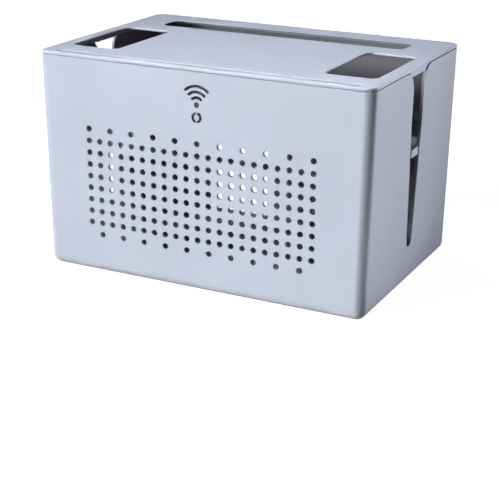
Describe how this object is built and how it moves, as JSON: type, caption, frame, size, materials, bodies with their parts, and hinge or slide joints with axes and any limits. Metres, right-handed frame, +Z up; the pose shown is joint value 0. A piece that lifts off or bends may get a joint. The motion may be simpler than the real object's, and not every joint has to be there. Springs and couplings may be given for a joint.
{
  "type": "cable management box",
  "caption": "Vented desktop box that hides a power strip and router, with a lift-off lid, hand openings, side cord slots, rear windows and a loose inner shelf.",
  "frame": {"origin": "middle of the footprint, on the plane that the feet stand on", "axes": "+X to the right, +Y from the vented front to the back, +Z up"},
  "size_m": [0.28, 0.186, 0.177],
  "materials": {
    "body_plastic": "fine satin, as moulded",
    "lid_plastic": "fine satin, as moulded",
    "shelf_plastic": "fine satin, as moulded",
    "foot_rubber": "matt"
  },
  "bodies": {
    "tub": {"box_body": "body_plastic", "foot_front_left": "foot_rubber", "foot_front_right": "foot_rubber", "foot_back_left": "foot_rubber", "foot_back_right": "foot_rubber"},
    "lid": {"lid": "lid_plastic"},
    "shelf": {"inner_shelf": "shelf_plastic"}
  },
  "joints": [
    {"name": "lid_lift", "type": "slide", "parent": "tub", "child": "lid", "axis": [0, 0, 1], "range_m": [0, 0.12]},
    {"name": "shelf_lift", "type": "slide", "parent": "tub", "child": "shelf", "axis": [0, 0, 1], "range_m": [0, 0.055]}
  ]
}
